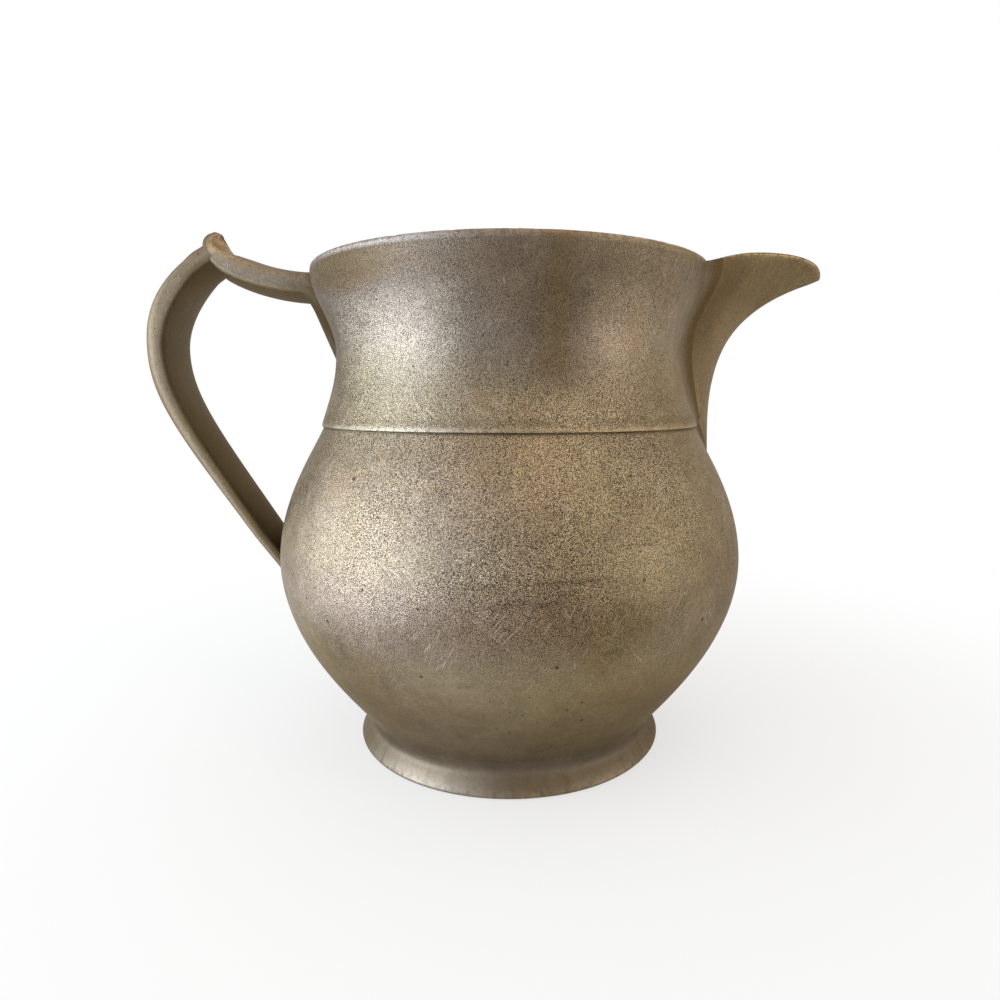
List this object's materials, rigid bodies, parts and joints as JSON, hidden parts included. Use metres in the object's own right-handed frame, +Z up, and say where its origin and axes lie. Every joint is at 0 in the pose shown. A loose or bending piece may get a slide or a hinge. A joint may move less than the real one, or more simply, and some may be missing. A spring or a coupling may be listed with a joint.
{
  "type": "pitcher",
  "caption": "Footed metal pitcher with a round belly, waisted neck, flared rim, pointed pouring spout and a strap handle with a thumb spur.",
  "frame": {"origin": "on the body's axis, at the plane on which the foot rests", "axes": "+Z up along the body's axis, +X towards the spout, the handle is on the -X side"},
  "size_m": [0.2181, 0.1492, 0.1651],
  "materials": {
    "body_pewter": "aged pewter, satin, warm grey with brown patina",
    "foot_pewter": "aged pewter, satin, darker near the table",
    "spout_pewter": "aged pewter, smooth satin",
    "handle_pewter": "aged pewter, rubbed, coppery on the edges",
    "solder": "dull solder, purple-brown"
  },
  "bodies": {
    "root": {"lower_belly": "body_pewter", "upper_belly": "body_pewter", "neck": "body_pewter", "foot_ring": "foot_pewter", "base_disc": "foot_pewter", "spout": "spout_pewter", "handle_arm": "handle_pewter", "handle_grip": "handle_pewter", "base_solder": "solder", "spout_solder": "solder"}
  },
  "joints": []
}
